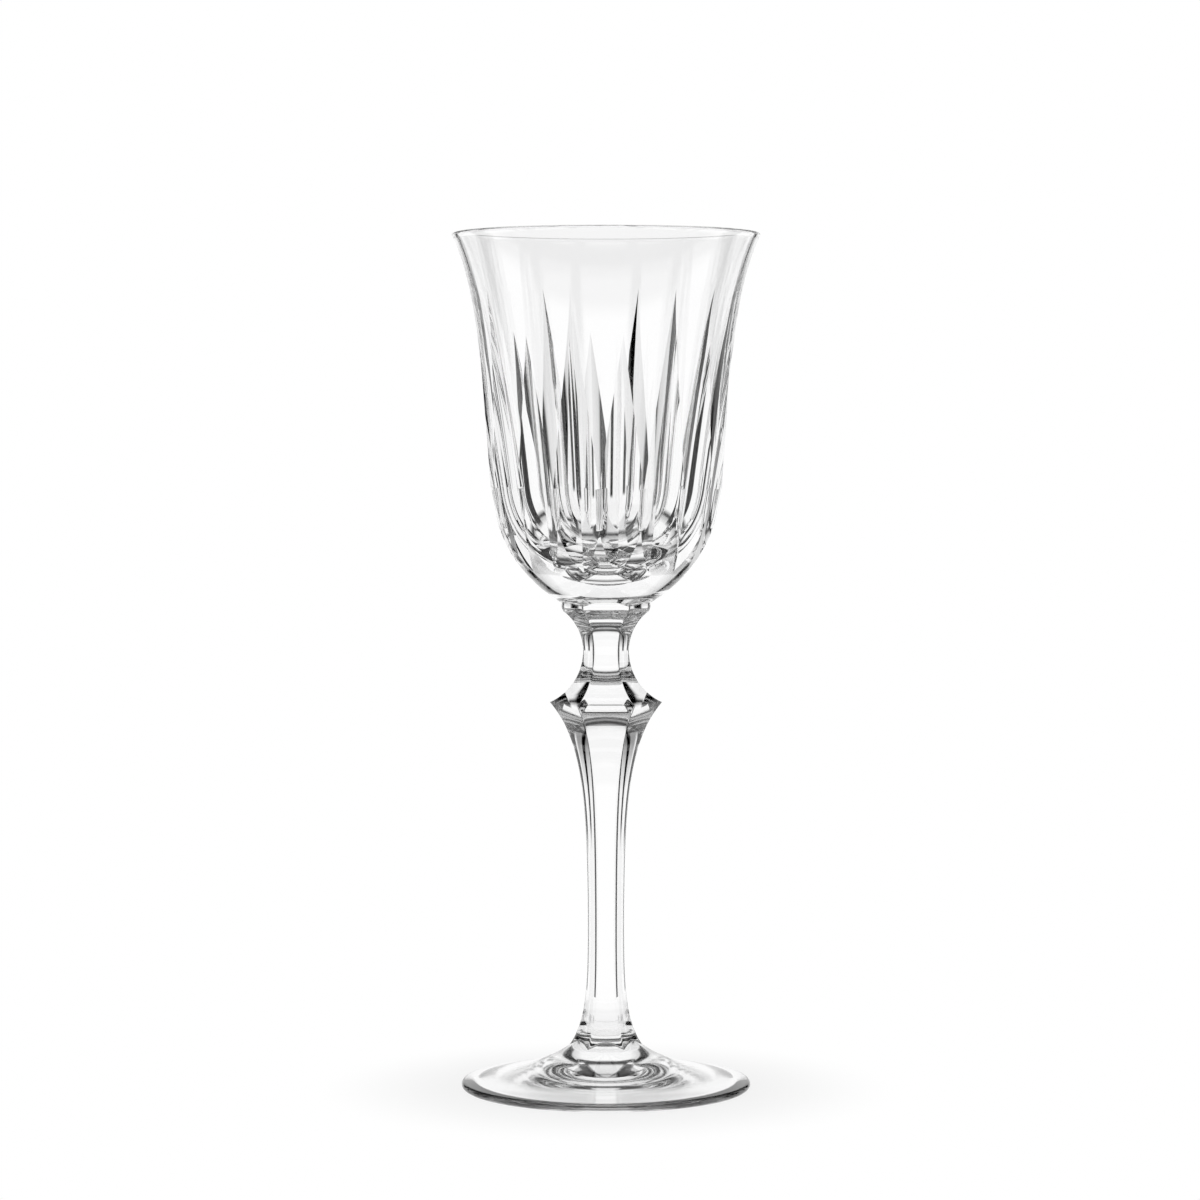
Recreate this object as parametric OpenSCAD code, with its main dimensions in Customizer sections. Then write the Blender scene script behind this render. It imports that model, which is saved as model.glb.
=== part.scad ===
// White wine glass in cut crystal: a flared bowl with a ring of wedge cuts on a six-sided stem and a round foot.
// Frame: +Z up, origin at the centre of the foot's underside, millimetres. The pieces are welded face to face.

/* [Foot] */
// Diameter of the foot
foot_d = 67.8; // [60:0.2:76]
// Thickness of the rounded edge of the foot
foot_edge = 1.8; // [1.4:0.1:2.6]
// Height of the foot piece, up to its weld with the leg
foot_h = 12.5; // [10:0.5:16]
// Radius at the bend of the sweep from the leg down to the edge
foot_bend_r = 10.5; // [9:0.1:14]
// Height of that bend
foot_bend_z = 5.6; // [4:0.1:8]
// Depth of the hollow underneath
foot_hollow = 3.6; // [2:0.1:4.5]
// Width of the flat ring that stands on the table
foot_ring = 2.4; // [1.6:0.2:5]

/* [Leg] */
// Length of the leg between its two welds
leg_h = 73.2; // [55:0.2:90]
// Width of the slimmest part, across corners
leg_waist_w = 8.2; // [7:0.1:11]
// Width at the weld with the knop, across corners
leg_top_w = 19.6; // [15:0.1:23]
// Length in which the upper flare fades
leg_top_fade = 11.4; // [8:0.1:16]
// Width at the weld with the foot, across corners
leg_end_w = 14.1; // [11:0.1:17]
// Length in which the lower flare fades
leg_end_fade = 6.2; // [4:0.1:9]

/* [Knop and neck] */
// Height of the knop with its neck
knop_h = 26.2; // [22:0.1:32]
// Width of the sharp edge, across corners
knop_w = 26.2; // [22:0.1:30]
// Height of the sharp edge above the weld with the leg
knop_edge_z = 4.9; // [3:0.1:7]
// Width of the neck, across corners
neck_w = 10.7; // [8:0.1:13]
// Height of the neck's slimmest place above the weld with the leg
neck_z = 16.9; // [14:0.1:19]

/* [Merese] */
// Height of the collar
merese_h = 1.9; // [1.4:0.1:3]
// Width of the collar at the bowl, across corners
merese_w = 20.5; // [19:0.1:22]
// Width of the collar at the neck, across corners
merese_end_w = 20; // [18:0.1:22]

/* [Bowl] */
// Height of the bowl
bowl_h = 86.2; // [76:0.2:100]
// Outer diameter of the rim
rim_d = 71.8; // [66:0.2:78]
// Outer radius where the wall bends in to the bottom
shoulder_r = 27; // [25:0.1:29]
// Height of that bend above the bottom of the bowl
shoulder_z = 27.2; // [23:0.1:32]
// Outward lean of the wall, in degrees
wall_lean = 3.4; // [2:0.1:5]
// Length in which the flare of the rim fades
flare_fade = 12.85; // [10:0.05:16]
// Thickness of the wall at the rim
rim_wall = 1.2; // [1:0.1:2]
// Thickness of the wall at the bend
shoulder_wall = 4.8; // [4.4:0.1:6]
// Thickness of the glass under the hollow
base_wall = 7.2; // [5:0.1:10]
// Slope of the six small flats at the weld, in degrees from upright
weld_flat_slope = 76; // [72:1:80]

/* [Wedge cuts] */
// Number of cuts, long and short in turn
cut_count = 16; // [12:2:18]
// Angle between the two faces of a cut, in degrees
cut_angle = 122; // [100:1:124]
// Depth of the long cuts' points below the rim
long_top = 14; // [10:0.5:20]
// Depth of the short cuts' points below the rim
short_top = 24.5; // [21:0.5:30]
// Height of the lower points above the bottom of the bowl
cut_low = 7.8; // [7:0.1:11]
// How closely the line of a cut follows the flare of the wall
cut_follow = 0.6; // [0.5:0.05:0.8]
// Share of the bulge past that line which a cut takes away
cut_share = 0.83; // [0.7:0.01:0.9]
// Turn of the first long cut from the front, in degrees
cut_turn = -15; // [-22:0.5:22]

/* [Hidden] */
$fn = 96;
sides = 6;
glass = [0.9, 0.93, 0.95, 0.45];

// Heights of the welds above the table
leg_z = foot_h;
knop_z = leg_z + leg_h;
merese_z = knop_z + knop_h;
bowl_z = merese_z + merese_h;

// Steps along each kind of curve
arc_steps = 10;
leg_steps = 18;
wall_steps = 14;
cut_steps = 12;

// Values of the bowl's wall, which ends in a round lip
lean = tan(wall_lean);
lip_r = rim_wall / 2;
lip_z = bowl_h - lip_r;
wall_h = lip_z - shoulder_z;
flare_out = rim_d / 2 - shoulder_r - lean * wall_h;
base_turn = shoulder_r - merese_w / 2;
base_arc_r = (base_turn ^ 2 + shoulder_z ^ 2)
    / (2 * (base_turn * cos(wall_lean) - shoulder_z * sin(wall_lean)));
base_arc_x = shoulder_r - base_arc_r * cos(wall_lean);
base_arc_z = shoulder_z + base_arc_r * sin(wall_lean);

// Half of the angle between a cut's faces
cut_half = cut_angle / 2;

// Points on the curve from a to c that is drawn towards b
function bend(a, b, c) = [for (i = [0 : arc_steps])
    let (t = i / arc_steps) (1 - t) ^ 2 * a + 2 * t * (1 - t) * b + t ^ 2 * c];

// Points on the circular cove from a slim place, upright there, to an end
function cove(slim, end) =
    let (out = end.x - slim.x,
        rise = end.y - slim.y,
        r = (out ^ 2 + rise ^ 2) / (2 * out),
        turn = asin(rise / r))
    [for (i = [0 : arc_steps])
        let (a = turn * i / arc_steps) [slim.x + r * (1 - cos(a)), slim.y + r * sin(a)]];

function backwards(points) = [for (i = [len(points) - 1 : -1 : 0]) points[i]];

// Half width of the leg across corners, at a height above the table
function leg_r(z) = leg_waist_w / 2
    + (leg_top_w - leg_waist_w) / 2 * exp((z - knop_z) / leg_top_fade)
    + (leg_end_w - leg_waist_w) / 2 * exp((leg_z - z) / leg_end_fade);

// Outward flare of the bowl's wall, and the wall's outer radius, at a height above the bowl's bottom
function flare(z) = flare_out * exp((z - lip_z) / flare_fade);
function bowl_r(z) = z >= shoulder_z
    ? shoulder_r + lean * (z - shoulder_z) + flare(z) - flare(shoulder_z) * (lip_z - z) / wall_h
    : base_arc_x + sqrt(base_arc_r ^ 2 - (base_arc_z - z) ^ 2);
function wall(z) = rim_wall + (shoulder_wall - rim_wall) * (lip_z - z) / wall_h;

// Radius of the line along which the two faces of a cut meet
function cut_r(z, top) =
    let (rise = bowl_r(top) - cut_follow * flare(top) - bowl_r(cut_low) + cut_follow * flare(cut_low),
        line = bowl_r(cut_low) + rise * (z - cut_low) / (top - cut_low)
            + cut_follow * (flare(z) - flare(cut_low)))
    bowl_r(z) - cut_share * (bowl_r(z) - line);

// A six-sided solid, flat at the front, whose corners follow a profile of [half width, height] points
module six_sided(profile) {
    flat = cos(180 / sides);
    side = [for (p = profile) [p.x * flat, p.y]];
    outline = concat(side, [for (p = backwards(side)) [-p.x, p.y]]);
    length = 4 * max([for (p = profile) p.x]);
    intersection_for (turn = [0 : 360 / sides : 179])
        rotate([90, 0, turn + 90])
            linear_extrude(length, center = true)
                polygon(outline);
}

module foot() {
    r = foot_d / 2;
    round_r = foot_edge / 2;
    top_r = leg_end_w / 2 * cos(180 / sides);
    hollow_r = r - round_r - foot_ring;
    hollow = bend([0, foot_hollow], [hollow_r / 2, foot_hollow], [hollow_r, 0]);
    edge = [for (a = [-90 : 30 : 60]) [r - round_r + round_r * cos(a), round_r + round_r * sin(a)]];
    sweep = bend([r - round_r, foot_edge], [foot_bend_r, foot_bend_z], [top_r, foot_h]);
    color(glass) {
        rotate_extrude() polygon(concat(hollow, edge, sweep, [[0, foot_h]]));
        six_sided([for (i = [arc_steps : -1 : 0])
            let (z = foot_h + (foot_bend_z - foot_h) * i / arc_steps) [min(leg_r(z), foot_bend_r), z]]);
    }
}

module leg() {
    color(glass) six_sided([for (i = [0 : leg_steps])
        let (z = leg_z + leg_h * i / leg_steps) [leg_r(z), z]]);
}

// The underside carries the curve of the leg on to the sharp edge
module knop() {
    slim = [neck_w / 2, neck_z];
    lower = cove(slim, [knop_w / 2, knop_edge_z]);
    upper = cove(slim, [merese_end_w / 2, knop_h]);
    spread = knop_w / 2 - leg_r(knop_z + knop_edge_z);
    under = [for (i = [0 : arc_steps - 1])
        let (t = i / arc_steps) [leg_r(knop_z + knop_edge_z * t) + spread * t, knop_edge_z * t]];
    side = concat(under, backwards(lower), [for (i = [1 : arc_steps]) upper[i]]);
    color(glass) translate([0, 0, knop_z]) six_sided(side);
}

module merese() {
    color(glass) translate([0, 0, merese_z]) six_sided([[merese_end_w / 2, 0], [merese_w / 2, merese_h]]);
}

// The revolved bowl before cutting, with its bottom at height 0
module bowl_blank() {
    floor_r = shoulder_r - shoulder_wall;
    floor_bend = floor_r - (shoulder_z - base_wall) * (lean + (shoulder_wall - rim_wall) / wall_h);
    outer_base = [for (i = [0 : arc_steps])
        let (z = shoulder_z * i / arc_steps) [bowl_r(z), z]];
    outer_wall = [for (i = [1 : wall_steps])
        let (z = shoulder_z + (lip_z - shoulder_z) * i / wall_steps) [bowl_r(z), z]];
    lip = [for (a = [30 : 30 : 150])
        [bowl_r(lip_z) - lip_r + lip_r * cos(a), lip_z + lip_r * sin(a)]];
    inner_wall = [for (i = [wall_steps : -1 : 1])
        let (z = shoulder_z + (lip_z - shoulder_z) * i / wall_steps) [bowl_r(z) - wall(z), z]];
    hollow = bend([floor_r, shoulder_z], [floor_bend, base_wall], [0, base_wall]);
    rotate_extrude() polygon(concat([[0, 0]], outer_base, outer_wall, lip, inner_wall, hollow));
}

// One wedge, its edge towards the axis on the +X side, from the lower points to a height of top
module wedge(top) {
    line = [for (i = [0 : cut_steps]) let (z = cut_low + (top - cut_low) * i / cut_steps) [cut_r(z, top), z]];
    outside = rim_d;
    outline = [for (p = concat(line, [[outside, top], [outside, cut_low]])) [p.x * sin(cut_half), p.y]];
    intersection_for (side = [0, 1])
        mirror([0, side, 0])
            rotate([90, 0, cut_half - 90])
                linear_extrude(4 * outside, center = true)
                    polygon(outline);
}

// Six small flats at the weld bring the round bottom in to the sides of the collar
module bowl() {
    step = 360 / cut_count;
    tops = [bowl_h - long_top, bowl_h - short_top];
    flat_rise = (rim_d - merese_w / 2) / tan(weld_flat_slope);
    color(glass) translate([0, 0, bowl_z]) intersection() {
        difference() {
            bowl_blank();
            for (i = [0 : cut_count - 1])
                rotate([0, 0, cut_turn - 90 + step * i])
                    wedge(tops[i % 2]);
        }
        six_sided([[merese_w / 2, 0], [rim_d, flat_rise], [rim_d, bowl_h]]);
    }
}

foot();
leg();
knop();
merese();
bowl();
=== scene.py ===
"""Looks of the cut crystal wine glass: smooth glass pieces, a white studio and the camera.

The pieces repeat the sizes of the solids, in millimetres, and take their heights from the frame.
"""
import math

import bmesh
import bpy
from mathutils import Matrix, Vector


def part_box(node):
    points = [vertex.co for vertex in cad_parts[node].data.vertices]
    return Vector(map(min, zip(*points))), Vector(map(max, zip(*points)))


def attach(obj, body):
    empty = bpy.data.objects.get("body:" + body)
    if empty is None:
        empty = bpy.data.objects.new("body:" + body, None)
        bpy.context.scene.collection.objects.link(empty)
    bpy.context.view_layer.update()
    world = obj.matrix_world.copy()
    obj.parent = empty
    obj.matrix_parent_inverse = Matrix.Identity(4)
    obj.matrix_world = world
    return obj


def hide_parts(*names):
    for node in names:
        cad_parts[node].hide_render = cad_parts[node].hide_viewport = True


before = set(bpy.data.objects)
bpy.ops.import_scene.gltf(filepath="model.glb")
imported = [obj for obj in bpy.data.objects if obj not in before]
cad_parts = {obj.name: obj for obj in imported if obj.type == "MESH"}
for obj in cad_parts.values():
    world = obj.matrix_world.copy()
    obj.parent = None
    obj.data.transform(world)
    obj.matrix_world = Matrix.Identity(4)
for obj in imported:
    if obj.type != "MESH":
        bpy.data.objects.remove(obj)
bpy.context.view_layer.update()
MM = 0.001

# Heights of the welds, from the frame
LEG_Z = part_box("leg")[0][2] / MM
KNOP_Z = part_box("knop")[0][2] / MM
MERESE_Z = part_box("merese")[0][2] / MM
BOWL_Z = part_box("bowl")[0][2] / MM
BOWL_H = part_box("bowl")[1][2] / MM - BOWL_Z

# Foot
FOOT_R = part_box("foot")[1][0] / MM
FOOT_EDGE = 1.8
FOOT_BEND = (10.5, 5.6)
FOOT_HOLLOW = 3.6
FOOT_RING = 2.4

# Stem, half widths across corners
SIDES = 6
SIDE_COLUMNS = 20
CORNER_CRISP = 4.0
CRISP_GROWTH = 1.4
CRISPEST = 400.0
COLLAR_CRISP = 30.0
SIDE_SWELL = 0.35
SWELL_R = 4.1
FLAT_R = 13.0
LEG_WAIST_R = 4.1
LEG_TOP_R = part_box("leg")[1][0] / MM
LEG_TOP_FADE = 11.4
LEG_END_R = 7.05
LEG_END_FADE = 6.2
KNOP_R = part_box("knop")[1][0] / MM
KNOP_EDGE_Z = 4.9
NECK_R = 5.35
NECK_Z = 16.9
MERESE_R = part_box("merese")[1][0] / MM
MERESE_END_R = 10.0
MERESE_SWELL = 0.22

# Bowl
RIM_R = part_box("bowl")[1][0] / MM
SHOULDER_R = 27.0
SHOULDER_Z = 27.2
WALL_LEAN = math.radians(3.4)
FLARE_FADE = 12.85
RIM_WALL = 1.2
EVEN_RIM = 0.12
SHOULDER_WALL = 4.8
BASE_WALL = 8.3
WELD_FLAT_SLOPE = math.radians(76)

# Wedge cuts
CUT_COUNT = 16
CUT_HALF = math.radians(61)
LONG_TOP = 14.0
SHORT_TOP = 24.5
CUT_LOW = 7.8
CUT_FOLLOW = 0.6
CUT_SHARE = 0.83
CUT_TURN = math.radians(-15)

# Steps of the meshes, along each stretch of a profile and round the pieces
LEG_STEPS = 120
COVE_STEPS = 40
UNDER_STEPS = 16
MERESE_STEPS = 24
HOLLOW_STEPS = 24
EDGE_STEPS = 14
SWEEP_STEPS = 90
FOOT_COLUMNS = 36 * SIDES
WELD_TOP = 1.2
WELD_STEPS = 24
BASE_STEPS = 36
CUT_STEPS = 260
ABOVE_STEPS = 24
LIP_STEPS = 12
INNER_STEPS = 100
BOTTOM_STEPS = 60
FACET_COLUMNS = 6
PLAIN_COLUMNS = 12
HALVINGS = 50
MERGE_M = 1e-8
SLIVER_M = 1e-9

# Values of the bowl's wall, which ends in a round lip
LEAN = math.tan(WALL_LEAN)
LIP_R = RIM_WALL / 2
LIP_Z = BOWL_H - LIP_R
WALL_H = LIP_Z - SHOULDER_Z
FLARE_OUT = RIM_R - SHOULDER_R - LEAN * WALL_H
BASE_TURN = SHOULDER_R - MERESE_R
BASE_ARC_R = (BASE_TURN ** 2 + SHOULDER_Z ** 2) / (
    2 * (BASE_TURN * math.cos(WALL_LEAN) - SHOULDER_Z * math.sin(WALL_LEAN)))
BASE_ARC_X = SHOULDER_R - BASE_ARC_R * math.cos(WALL_LEAN)
BASE_ARC_Z = SHOULDER_Z + BASE_ARC_R * math.sin(WALL_LEAN)


def spread(a, b, count):
    """count + 1 even steps from a to b."""
    return [a + (b - a) * i / count for i in range(count + 1)]


def bend(a, b, c, count):
    """Points on the curve from a to c that is drawn towards b."""
    points = []
    for t in spread(0, 1, count):
        points.append(tuple((1 - t) ** 2 * p + 2 * t * (1 - t) * q + t * t * r for p, q, r in zip(a, b, c)))
    return points


def cove(slim, end, count):
    """Points on the circular cove from a slim place, upright there, to an end."""
    out, rise = end[0] - slim[0], end[1] - slim[1]
    r = (out ** 2 + rise ** 2) / (2 * out)
    turn = math.asin(rise / r)
    return [(slim[0] + r * (1 - math.cos(a)), slim[1] + r * math.sin(a)) for a in spread(0, turn, count)]


# Shapes of the bowl, at a height above its bottom
def flare(z):
    return FLARE_OUT * math.exp((z - LIP_Z) / FLARE_FADE)


def bowl_r(z):
    if z >= SHOULDER_Z:
        fade = flare(SHOULDER_Z) * (LIP_Z - z) / WALL_H
        return SHOULDER_R + LEAN * (z - SHOULDER_Z) + flare(z) - fade
    return BASE_ARC_X + math.sqrt(BASE_ARC_R ** 2 - (BASE_ARC_Z - z) ** 2)


def wall(z):
    """Thickness of the wall, even near the rim and growing steadily below."""
    down = (LIP_Z - z) / WALL_H
    grown = down ** 2 / (4 * EVEN_RIM) if down < 2 * EVEN_RIM else down - EVEN_RIM
    return RIM_WALL + (SHOULDER_WALL - RIM_WALL) * grown / (1 - EVEN_RIM)


def cut_r(z, top):
    """Radius of the line along which the two faces of a cut meet."""
    rise = bowl_r(top) - CUT_FOLLOW * flare(top) - bowl_r(CUT_LOW) + CUT_FOLLOW * flare(CUT_LOW)
    line = bowl_r(CUT_LOW) + rise * (z - CUT_LOW) / (top - CUT_LOW)
    line += CUT_FOLLOW * (flare(z) - flare(CUT_LOW))
    return bowl_r(z) - CUT_SHARE * (bowl_r(z) - line)


def leg_r(z):
    """Half width of the leg across corners, at a height above the table."""
    upper = (LEG_TOP_R - LEG_WAIST_R) * math.exp((z - KNOP_Z) / LEG_TOP_FADE)
    lower = (LEG_END_R - LEG_WAIST_R) * math.exp((LEG_Z - z) / LEG_END_FADE)
    return LEG_WAIST_R + upper + lower


def crispness(r):
    """How crisp polishing has left the corners of a hexagon."""
    return min(CRISPEST, CORNER_CRISP * r ** CRISP_GROWTH)


def on_hexagon(turn, r, power):
    """Radius, turned from the front, of a hexagon with a side at the front and its corners at r.

    Polishing has rounded the corners and left the sides slightly swollen, most of all where they are narrow.
    """
    flats = [math.cos(turn - 2 * math.pi * i / SIDES) for i in range(SIDES)]
    total = sum(flat ** power for flat in flats if flat > 0)
    share = math.cos(math.pi / SIDES) * (total / 2) ** (-1 / power)
    fade = min(1.0, max(0.0, (FLAT_R - r) / (FLAT_R - SWELL_R)))
    return r * share ** (1 - SIDE_SWELL * fade)


def place(turn, r, z):
    """A point turned from the front, towards +X, at a radius and a height, in metres."""
    return Vector((r * math.sin(turn), -r * math.cos(turn), z)) * MM


GLASS, WELD, EDGE = 0, 1, 2
EDGE_REACH = 8
LAST = -1


def build(name, rings, sharp, caps, edge_rows=()):
    """A closed piece from rings of points, from the bottom up or round to the inside.

    sharp(row, column) says whether the edge from a row to the next is a crisp one, and sharp(row, None)
    whether the ring is. caps are the end rings to close, with the material slot of each. edge_rows are the
    rows of faces that form a thick round edge.
    """
    mesh = bmesh.new()
    rows = [[mesh.verts.new(p) for p in ring] for ring in rings]
    count = len(rows[0])
    for i in range(len(rows) - 1):
        for j in range(count):
            k = (j + 1) % count
            face = mesh.faces.new((rows[i][j], rows[i][k], rows[i + 1][k], rows[i + 1][j]))
            face.smooth = True
            face.material_index = EDGE if i in edge_rows else GLASS
    crisp = []
    for i, row in enumerate(rows):
        for j in range(count):
            if i + 1 < len(rows) and sharp(i, j):
                crisp.append(mesh.edges.get((row[j], rows[i + 1][j])))
            if sharp(i, None):
                crisp.append(mesh.edges.get((row[j], row[(j + 1) % count])))
    for edge in crisp:
        edge.smooth = False
    for i, slot in caps:
        row = rows[i] if i else rows[0][::-1]
        face = mesh.faces.new(row)
        face.material_index = slot
        for edge in face.edges:
            edge.smooth = False
    bmesh.ops.remove_doubles(mesh, verts=mesh.verts, dist=MERGE_M)
    bmesh.ops.dissolve_degenerate(mesh, edges=mesh.edges, dist=SLIVER_M)
    data = bpy.data.meshes.new(name)
    mesh.to_mesh(data)
    mesh.free()
    piece = bpy.data.objects.new(name, data)
    bpy.context.collection.objects.link(piece)
    return piece


def hexagon_rings(profile):
    """Rings along a profile of (half width, height, crispness), with columns closer near the corners."""
    half = math.pi / SIDES
    across = [half * math.sin(s) for s in spread(-math.pi / 2, math.pi / 2, SIDE_COLUMNS)[:-1]]
    turns = [2 * half * i + t for i in range(SIDES) for t in across]
    return [[place(turn, on_hexagon(turn, r, power), z) for turn in turns] for r, z, power in profile]


def make_leg():
    profile = [(leg_r(z), z, crispness(leg_r(z))) for z in spread(LEG_Z, KNOP_Z, LEG_STEPS)]
    return build("crystal_leg", hexagon_rings(profile), lambda i, j: False, [(0, WELD), (LAST, WELD)])


def make_knop():
    slim = (NECK_R, NECK_Z)
    lower = cove(slim, (KNOP_R, KNOP_EDGE_Z), COVE_STEPS)[::-1]
    upper = cove(slim, (MERESE_END_R, MERESE_Z - KNOP_Z), COVE_STEPS)[1:]
    swell = KNOP_R - leg_r(KNOP_Z + KNOP_EDGE_Z)
    heights = spread(0, KNOP_EDGE_Z, UNDER_STEPS)[:-1]
    under = [(leg_r(KNOP_Z + z) + swell * z / KNOP_EDGE_Z, z) for z in heights]
    profile = [(r, z + KNOP_Z, crispness(r)) for r, z in under + lower + upper]
    return build("crystal_knop", hexagon_rings(profile), lambda i, j: j is None and i == len(under),
                 [(0, WELD), (LAST, WELD)])


def make_merese():
    profile = []
    for t in spread(0, 1, MERESE_STEPS):
        swell = 4 * MERESE_SWELL * t * (1 - t)
        r, z = MERESE_END_R + (MERESE_R - MERESE_END_R) * t + swell, MERESE_Z + (BOWL_Z - MERESE_Z) * t
        profile.append((r, z, 1 / ((1 - t) / crispness(MERESE_END_R) + t / COLLAR_CRISP)))
    return build("crystal_merese", hexagon_rings(profile), lambda i, j: False, [(0, WELD), (LAST, WELD)])


def make_foot():
    """The round foot, whose sweep turns six-sided towards the leg."""
    round_r = FOOT_EDGE / 2
    edge_r = FOOT_R - round_r
    hollow_r = edge_r - FOOT_RING
    hollow = bend((0.0, FOOT_HOLLOW), (hollow_r / 2, FOOT_HOLLOW), (hollow_r, 0.0), HOLLOW_STEPS)
    edge = [(edge_r + round_r * math.cos(a), round_r + round_r * math.sin(a))
            for a in spread(-math.pi / 2, math.pi / 2, EDGE_STEPS)]
    top_r = LEG_END_R * math.cos(math.pi / SIDES)
    sweep = bend((edge_r, FOOT_EDGE), FOOT_BEND, (top_r, LEG_Z), SWEEP_STEPS)[1:]
    turns = [2 * math.pi * j / FOOT_COLUMNS + math.pi / SIDES for j in range(FOOT_COLUMNS)]
    rings = []
    for r, z in hollow + edge + sweep:
        near_leg = z > FOOT_BEND[1] and r < FOOT_BEND[0]
        ring = []
        for turn in turns:
            side = on_hexagon(turn, leg_r(z), crispness(leg_r(z))) if near_leg else 0.0
            ring.append(place(turn, max(r, side), z))
        rings.append(ring)
    edge_rows = range(len(hollow) - 1 - EDGE_REACH // 2, len(hollow) + len(edge) - 1 + EDGE_REACH)
    return build("crystal_foot", rings, lambda i, j: False, [(LAST, WELD)], edge_rows)


def make_bowl():
    """The bowl as one grid: up the outside with its cuts, round the lip and down the inside."""
    step = 2 * math.pi / CUT_COUNT
    tops = (BOWL_H - LONG_TOP, BOWL_H - SHORT_TOP)
    facet, plain = FACET_COLUMNS, PLAIN_COLUMNS

    def border(z, top):
        """Angle from the middle of a cut to its edge, 0 where there is no cut."""
        if not CUT_LOW < z < top:
            return 0.0
        share = cut_r(z, top) * math.sin(CUT_HALF) / bowl_r(z)
        return max(0.0, CUT_HALF - math.asin(min(1.0, share)))

    def on_cut(z, top, turn):
        return cut_r(z, top) * math.sin(CUT_HALF) / math.sin(CUT_HALF - turn)

    def ridge(z, top, other):
        """Angle at which two neighbouring cuts meet."""
        low, high = 0.0, step
        for _ in range(HALVINGS):
            middle = (low + high) / 2
            if on_cut(z, top, middle) < on_cut(z, other, step - middle):
                low = middle
            else:
                high = middle
        return low

    def outer_ring(z):
        ring = []
        for i in range(CUT_COUNT):
            top, other = tops[i % 2], tops[(i + 1) % 2]
            first, last = border(z, top), step - border(z, other)
            if first > last:
                first = last = ridge(z, top, other)
            turns = [(t, top, t) for t in spread(0, first, facet)[:-1]]
            turns += [(t, None, 0) for t in spread(first, last, plain)[:-1]]
            turns += [(t, other, step - t) for t in spread(last, step, facet)[:-1]]
            for t, cut, away in turns:
                turn = CUT_TURN + i * step + t
                r = bowl_r(z)
                if cut is not None and border(z, cut) > 0:
                    r = on_cut(z, cut, away)
                elif cut is None and first == last:
                    r = on_cut(z, top, first)
                flat_r = MERESE_R + z * math.tan(WELD_FLAT_SLOPE)
                r = min(r, on_hexagon(turn, flat_r, COLLAR_CRISP))
                ring.append(place(turn, r, z + BOWL_Z))
        return ring

    def plain_ring(r, z):
        ring = []
        for i in range(CUT_COUNT):
            turns = [0.0] * facet + spread(0, step, plain)[:-1] + [step] * facet
            ring += [place(CUT_TURN + i * step + t, r, z + BOWL_Z) for t in turns]
        return ring

    lowest = spread(0, WELD_TOP, WELD_STEPS)
    base = spread(WELD_TOP, CUT_LOW, BASE_STEPS)[1:]
    cuts = spread(CUT_LOW, tops[0], CUT_STEPS)[1:]
    above = spread(tops[0], LIP_Z, ABOVE_STEPS)[1:]
    outside = lowest + base + cuts + above
    rings = [outer_ring(z) for z in outside]
    middle = bowl_r(LIP_Z) - LIP_R
    for a in spread(0, math.pi, LIP_STEPS)[1:]:
        rings.append(plain_ring(middle + LIP_R * math.cos(a), LIP_Z + LIP_R * math.sin(a)))
    for z in spread(LIP_Z, SHOULDER_Z, INNER_STEPS)[1:]:
        rings.append(plain_ring(bowl_r(z) - wall(z), z))
    floor_r = SHOULDER_R - SHOULDER_WALL
    lean_in = LEAN + (SHOULDER_WALL - RIM_WALL) / WALL_H / (1 - EVEN_RIM)
    floor_bend = floor_r - (SHOULDER_Z - BASE_WALL) * lean_in
    bottom = bend((floor_r, SHOULDER_Z), (floor_bend, BASE_WALL), (0.0, BASE_WALL), BOTTOM_STEPS)
    for r, z in bottom[1:]:
        rings.append(plain_ring(r, z))

    per_cut = 2 * facet + plain

    def sharp(i, j):
        if j is None or i + 1 >= len(outside):
            return False
        column, cut = j % per_cut, j // per_cut
        own, other = tops[cut % 2], tops[(cut + 1) % 2]
        z = (outside[i] + outside[i + 1]) / 2
        if column in (0, facet):
            return CUT_LOW < z < own
        if column == facet + plain:
            return CUT_LOW < z < other
        return False

    return build("crystal_bowl", rings, sharp, [(0, WELD)])


# Painted shade: the share of its strength that light loses, as black mixed into the glass, each time the
# inner side of a surface throws it back, and roughness, both set for the look
STEM_PAINTED_SHADE = 0.4
BOWL_PAINTED_SHADE = 0.02
FOOT_PAINTED_SHADE = 0.0
EDGE_PAINTED_SHADE = 0.55
STEM_SOFT = 0.0
BOWL_SOFT = 0.0
FOOT_SOFT = 0.05
EDGE_SOFT = 0.0

# Clear crystal, and its detail: faint waves left by the hot glass, and strokes of the polishing wheel
GLASS_COLOUR = (0.998, 0.998, 0.999, 1)
GLASS_IOR = 1.5
STRIAE_DETAIL = 2.0
STROKES_DETAIL = 4.0
STRIAE_PER_M = 90.0
STRIAE_DEPTH = 0.004
STROKES_PER_M = 700.0
POLISH = 0.008


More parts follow.
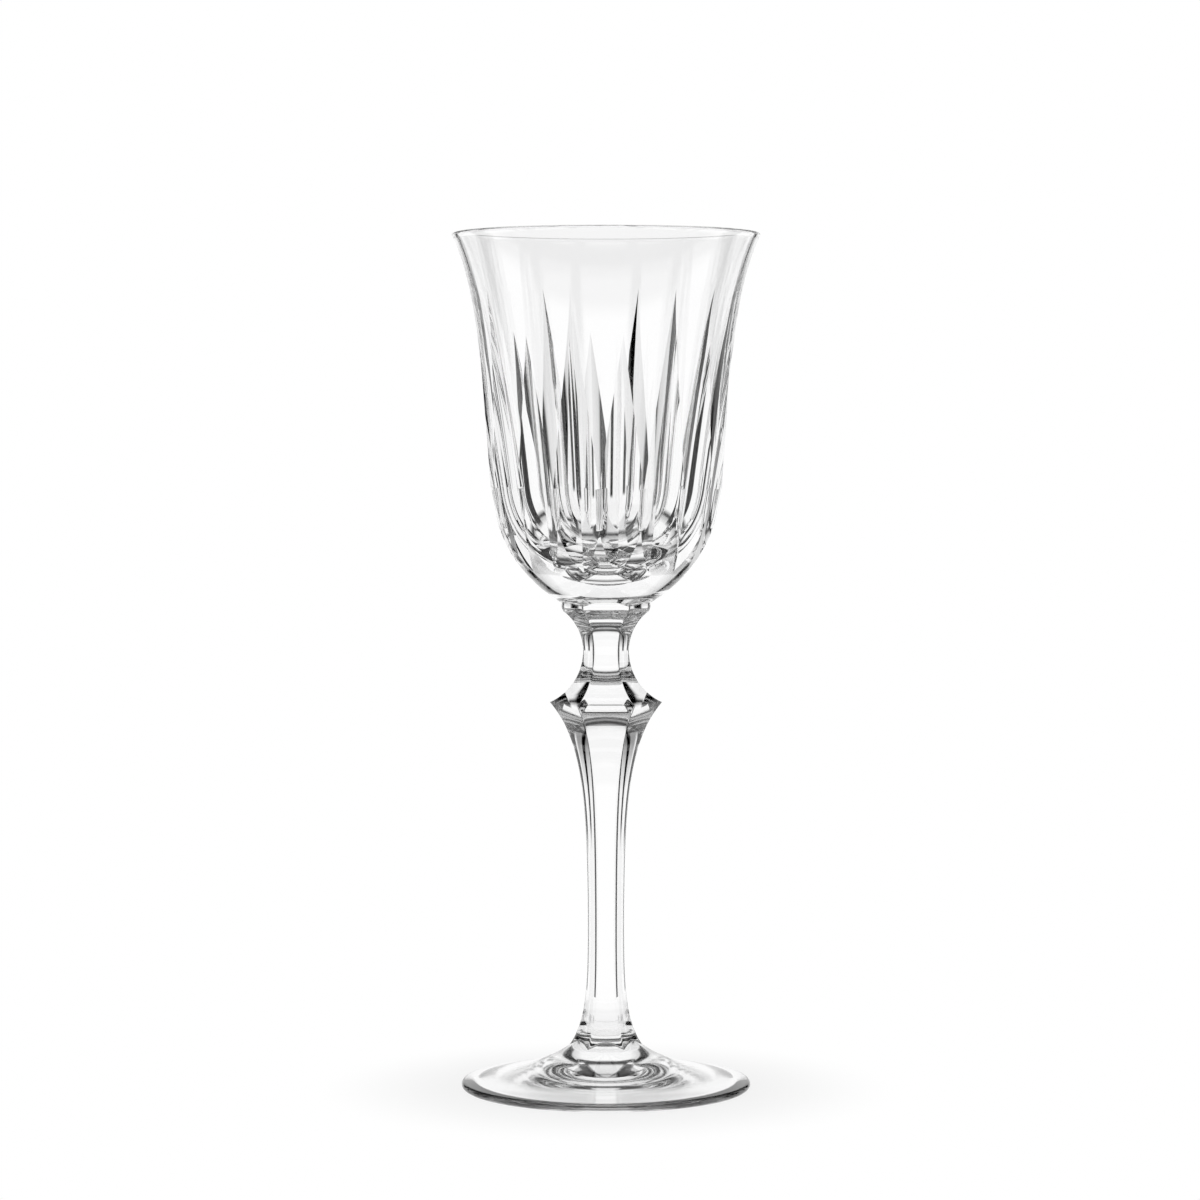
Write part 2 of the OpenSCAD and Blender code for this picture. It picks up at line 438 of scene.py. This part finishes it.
def crystal(name, painted_shade_share, softness):
    """Clear polished crystal with painted shade: black mixed in takes some of the light that its inner side
    throws back.
    """
    material = bpy.data.materials.new(name)
    material.use_nodes = True
    nodes, links = material.node_tree.nodes, material.node_tree.links
    shader = nodes["Principled BSDF"]
    shader.inputs["Base Color"].default_value = GLASS_COLOUR
    shader.inputs["Transmission Weight"].default_value = 1.0
    shader.inputs["IOR"].default_value = GLASS_IOR
    coordinates = nodes.new("ShaderNodeTexCoord")
    striae = nodes.new("ShaderNodeTexNoise")
    striae.inputs["Scale"].default_value = STRIAE_PER_M
    striae.inputs["Detail"].default_value = STRIAE_DETAIL
    links.new(coordinates.outputs["Object"], striae.inputs["Vector"])
    ripple = nodes.new("ShaderNodeBump")
    ripple.inputs["Strength"].default_value = 1.0
    ripple.inputs["Distance"].default_value = STRIAE_DEPTH * MM
    links.new(striae.outputs["Fac"], ripple.inputs["Height"])
    links.new(ripple.outputs["Normal"], shader.inputs["Normal"])
    strokes = nodes.new("ShaderNodeTexNoise")
    strokes.inputs["Scale"].default_value = STROKES_PER_M
    strokes.inputs["Detail"].default_value = STROKES_DETAIL
    links.new(coordinates.outputs["Object"], strokes.inputs["Vector"])
    polish = nodes.new("ShaderNodeMapRange")
    polish.inputs["To Min"].default_value = softness
    polish.inputs["To Max"].default_value = softness + POLISH
    links.new(strokes.outputs["Fac"], polish.inputs["Value"])
    links.new(polish.outputs["Result"], shader.inputs["Roughness"])
    # Painted shade: on the inner side, where light meets the surface beyond the critical angle, a share of
    # black is mixed in
    surface = nodes.new("ShaderNodeNewGeometry")
    slant = nodes.new("ShaderNodeLayerWeight")
    slant.inputs["Blend"].default_value = 0.5
    beyond = nodes.new("ShaderNodeMath")
    beyond.operation = "GREATER_THAN"
    beyond.inputs[1].default_value = 1 - math.cos(math.asin(1 / GLASS_IOR))
    links.new(slant.outputs["Facing"], beyond.inputs[0])
    painted_shade_mask = nodes.new("ShaderNodeMath")
    painted_shade_mask.operation = "MULTIPLY"
    links.new(beyond.outputs["Value"], painted_shade_mask.inputs[0])
    links.new(surface.outputs["Backfacing"], painted_shade_mask.inputs[1])
    share = nodes.new("ShaderNodeMath")
    share.operation = "MULTIPLY"
    share.inputs[1].default_value = painted_shade_share
    links.new(painted_shade_mask.outputs["Value"], share.inputs[0])
    painted_black = nodes.new("ShaderNodeEmission")
    painted_black.inputs["Strength"].default_value = 0.0
    mix = nodes.new("ShaderNodeMixShader")
    links.new(share.outputs["Value"], mix.inputs["Fac"])
    links.new(shader.outputs["BSDF"], mix.inputs[1])
    links.new(painted_black.outputs["Emission"], mix.inputs[2])
    links.new(mix.outputs["Shader"], nodes["Material Output"].inputs["Surface"])
    return material


def weld():
    """The fused joint between two pieces, which can't be seen."""
    material = bpy.data.materials.new("fused_weld")
    material.use_nodes = True
    nodes, links = material.node_tree.nodes, material.node_tree.links
    nodes.remove(nodes["Principled BSDF"])
    clear = nodes.new("ShaderNodeBsdfTransparent")
    links.new(clear.outputs["BSDF"], nodes["Material Output"].inputs["Surface"])
    return material


# Brightness of the studio, as (degrees, brightness), the same for every ray. Sideways from straight
# behind, dark flags hang between white panels. Low down, where a camera above the glass looks, they
# stand only between the views every 45 degrees. HANGING and STANDING say from which height each counts.
FLAGS = [(0, 1.0), (16, 1.0), (17, 0.9), (22.5, 0.72), (23.5, 0.0), (31, 0.0), (32, 1.0), (36.2, 1.0),
         (36.9, 0.0), (39.4, 0.0), (40.1, 1.0), (48.4, 1.0), (49.2, 0.0), (61, 0.0), (62, 1.0), (65, 1.0),
         (66, 0.0), (73, 0.0), (74, 1.0)]
FAR_FLAGS = [(74, 1.0), (97, 1.0), (99, 0.0), (105, 0.0), (107, 1.0), (111, 1.0), (113, 0.0), (121, 0.0),
             (123, 1.0), (147, 1.0), (149, 0.0), (157, 0.0), (159, 1.0), (180, 1.0)]
LOW_FLAGS = [(0, 1.0), (16, 1.0), (17, 0.9), (22.5, 0.72), (23.5, 0.0), (31, 0.0), (32, 1.0), (56, 1.0),
             (57, 0.0), (73, 0.0), (74, 1.0), (102, 1.0), (103, 0.0), (106, 0.0), (107, 1.0), (113, 1.0),
             (114, 0.0), (121, 0.0), (122, 1.0), (149, 1.0), (150, 0.0), (157, 0.0), (158, 1.0),
             (180, 1.0)]
HANGING = [(-90, 0.0), (-4, 0.0), (-2, 1.0), (90, 1.0)]
STANDING = [(-90, 0.0), (-45, 0.0), (-38, 1.0), (90, 1.0)]
# By height, behind the glass and before it, and where the one turns into the other
BEHIND = [(-90, 1.0), (-46, 1.0), (-42, 0.75), (-37, 0.5), (-35, 0.06), (-33, 0.06), (-31, 0.45),
          (-28, 1.0), (23, 1.0), (26, 0.85), (28, 0.4), (31, 0.02), (33, 0.02), (36, 0.25), (39, 0.02),
          (44, 0.02), (48, 0.8), (75, 0.9), (78, 0.1), (90, 0.1)]
BEFORE = [(-90, 1.0), (-56, 1.0), (-50, 0.0), (-30, 0.0), (-27, 1.0), (24, 1.0), (28, 0.0), (46, 0.0),
          (52, 0.9), (75, 0.9), (78, 0.1), (90, 0.1)]
FRONT_HALF = [(0, 0.0), (100, 0.0), (110, 1.0), (180, 1.0)]
# The white panels at the sides darken upwards: how much that counts, sideways, and the brightness by height
CORNERS_AT = [(0, 0.0), (31, 0.0), (33, 1.0), (45, 1.0), (48, 0.0), (180, 0.0)]
CORNERS = [(-90, 1.0), (2, 1.0), (8, 0.75), (14, 0.45), (20, 0.25), (90, 0.25)]
WHITE = (1, 1, 1, 1)

# Sockets of a Mix node for colours
MIX_A, MIX_B, MIX_OUT = 6, 7, 2


def make_world():
    """White studio with dark flags out of the picture, which the glass bends in from all round."""
    world = bpy.data.worlds.new("studio")
    bpy.context.scene.world = world
    world.use_nodes = True
    nodes, links = world.node_tree.nodes, world.node_tree.links
    nodes.clear()

    def node(kind, **values):
        made = nodes.new(kind)
        for key, value in values.items():
            setattr(made, key, value)
        return made

    def math_node(operation, a, b=None):
        made = node("ShaderNodeMath", operation=operation)
        for socket, value in zip(made.inputs, (a, b)):
            if value is None:
                continue
            if isinstance(value, (int, float)):
                socket.default_value = value
            else:
                links.new(value, socket)
        return made.outputs[0]

    def ramp(angle, stops):
        low, high = math.radians(stops[0][0]), math.radians(stops[-1][0])
        made = node("ShaderNodeValToRGB")
        links.new(math_node("DIVIDE", math_node("SUBTRACT", angle, low), high - low), made.inputs["Fac"])
        elements = made.color_ramp.elements
        while len(elements) < len(stops):
            elements.new(0.5)
        for element, (degrees, shade) in zip(elements, stops):
            element.position = (math.radians(degrees) - low) / (high - low)
            element.color = (shade, shade, shade, 1)
        return made.outputs["Color"]

    def blend(factor, a, b):
        """From a to b by a factor; a is a plain colour or a socket."""
        made = node("ShaderNodeMix", data_type="RGBA")
        links.new(factor, made.inputs["Factor"])
        if isinstance(a, tuple):
            made.inputs[MIX_A].default_value = a
        else:
            links.new(a, made.inputs[MIX_A])
        links.new(b, made.inputs[MIX_B])
        return made.outputs[MIX_OUT]

    def product(a, b):
        made = node("ShaderNodeMix", data_type="RGBA", blend_type="MULTIPLY")
        made.inputs["Factor"].default_value = 1.0
        links.new(a, made.inputs[MIX_A])
        links.new(b, made.inputs[MIX_B])
        return made.outputs[MIX_OUT]

    axes = node("ShaderNodeSeparateXYZ")
    coordinates = node("ShaderNodeTexCoord")
    links.new(coordinates.outputs["Generated"], axes.inputs[0])
    aside = math_node("ABSOLUTE", math_node("ARCTAN2", axes.outputs["X"], axes.outputs["Y"]))
    height = math_node("ARCSINE", axes.outputs["Z"])
    hanging = product(ramp(aside, FLAGS), ramp(aside, FAR_FLAGS))
    flags = blend(ramp(height, HANGING), ramp(aside, LOW_FLAGS), hanging)
    flags = blend(ramp(height, STANDING), WHITE, flags)
    panels = blend(ramp(aside, FRONT_HALF), ramp(height, BEHIND), ramp(height, BEFORE))
    corners = blend(ramp(aside, CORNERS_AT), WHITE, ramp(height, CORNERS))
    light = node("ShaderNodeBackground")
    links.new(product(product(flags, panels), corners), light.inputs["Color"])
    output = node("ShaderNodeOutputWorld")
    links.new(light.outputs["Background"], output.inputs["Surface"])


# Floor, in millimetres: its size, how far below the foot it lies, and where its glow takes over
FLOOR_R = 75.0
FLOOR_DROP = 0.2
FLOOR_CORNERS = 128
FLOOR_COLOUR = (0.95, 0.95, 0.95, 1)
FLOOR_ROUGH = 0.8
GLOW_REACH = (30.0, 70.0)
GLOW_SHARE = (0.85, 1.0)


def make_floor():
    """A pale round table top that keeps the shadow near the glass."""
    bpy.ops.mesh.primitive_circle_add(vertices=FLOOR_CORNERS, radius=FLOOR_R * MM, fill_type="NGON",
                                      location=(0, 0, -FLOOR_DROP * MM))
    floor = bpy.context.object
    floor.name = "floor"
    material = bpy.data.materials.new("pale_floor")
    material.use_nodes = True
    nodes, links = material.node_tree.nodes, material.node_tree.links
    shader = nodes["Principled BSDF"]
    shader.inputs["Base Color"].default_value = FLOOR_COLOUR
    shader.inputs["Roughness"].default_value = FLOOR_ROUGH
    shader.inputs["Specular IOR Level"].default_value = 0.0
    glow = nodes.new("ShaderNodeEmission")
    glow.inputs["Strength"].default_value = 1.0
    mix = nodes.new("ShaderNodeMixShader")
    coordinates = nodes.new("ShaderNodeTexCoord")
    distance = nodes.new("ShaderNodeVectorMath")
    distance.operation = "LENGTH"
    links.new(coordinates.outputs["Object"], distance.inputs[0])
    fade = nodes.new("ShaderNodeMapRange")
    fade.interpolation_type = "SMOOTHSTEP"
    fade.inputs["From Min"].default_value = GLOW_REACH[0] * MM
    fade.inputs["From Max"].default_value = GLOW_REACH[1] * MM
    fade.inputs["To Min"].default_value = GLOW_SHARE[0]
    fade.inputs["To Max"].default_value = GLOW_SHARE[1]
    links.new(distance.outputs["Value"], fade.inputs["Value"])
    links.new(fade.outputs["Result"], mix.inputs["Fac"])
    links.new(shader.outputs["BSDF"], mix.inputs[1])
    links.new(glow.outputs["Emission"], mix.inputs[2])
    links.new(mix.outputs["Shader"], nodes["Material Output"].inputs["Surface"])
    floor.data.materials.append(material)


# Camera: where it stands and what lies in the middle of its picture, in millimetres
CAMERA_AT = (-1.4, -872.0, 155.4)
CAMERA_AIM = (-1.4, 0.0, 114.5)
PICTURE_W = 280.4
SENSOR = 36.0
SIGHT_M = 50


def make_camera():
    data = bpy.data.cameras.new("camera")
    camera = bpy.data.objects.new("camera", data)
    bpy.context.collection.objects.link(camera)
    at, aim = Vector(CAMERA_AT) * MM, Vector(CAMERA_AIM) * MM
    camera.location = at
    camera.rotation_euler = (aim - at).to_track_quat("-Z", "Y").to_euler()
    data.sensor_width = SENSOR
    data.lens = SENSOR * (aim - at).length / (PICTURE_W * MM)
    data.clip_end = SIGHT_M
    bpy.context.scene.camera = camera


BOUNCES = 40


def main():
    scene = bpy.context.scene
    scene.view_settings.view_transform = "Standard"
    for limit in ("max_bounces", "glossy_bounces", "transmission_bounces", "transparent_max_bounces"):
        setattr(scene.cycles, limit, BOUNCES)
    make_camera()
    make_world()
    make_floor()
    stem = crystal("crystal_stem", STEM_PAINTED_SHADE, STEM_SOFT)
    joint = weld()
    thin = crystal("crystal_foot", FOOT_PAINTED_SHADE, FOOT_SOFT)
    cut = crystal("crystal_bowl", BOWL_PAINTED_SHADE, BOWL_SOFT)
    makers = {"foot": (make_foot, thin), "leg": (make_leg, stem), "knop": (make_knop, stem),
              "merese": (make_merese, stem), "bowl": (make_bowl, cut)}
    for node, (make, glass) in makers.items():
        piece = make()
        piece.data.materials.append(glass)
        piece.data.materials.append(joint)
        # The foot's thick round edge gets its own crystal, with the strongest painted shade
        if node == "foot":
            piece.data.materials.append(crystal("crystal_edge", EDGE_PAINTED_SHADE, EDGE_SOFT))
        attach(piece, "root")
        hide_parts(node)


main()
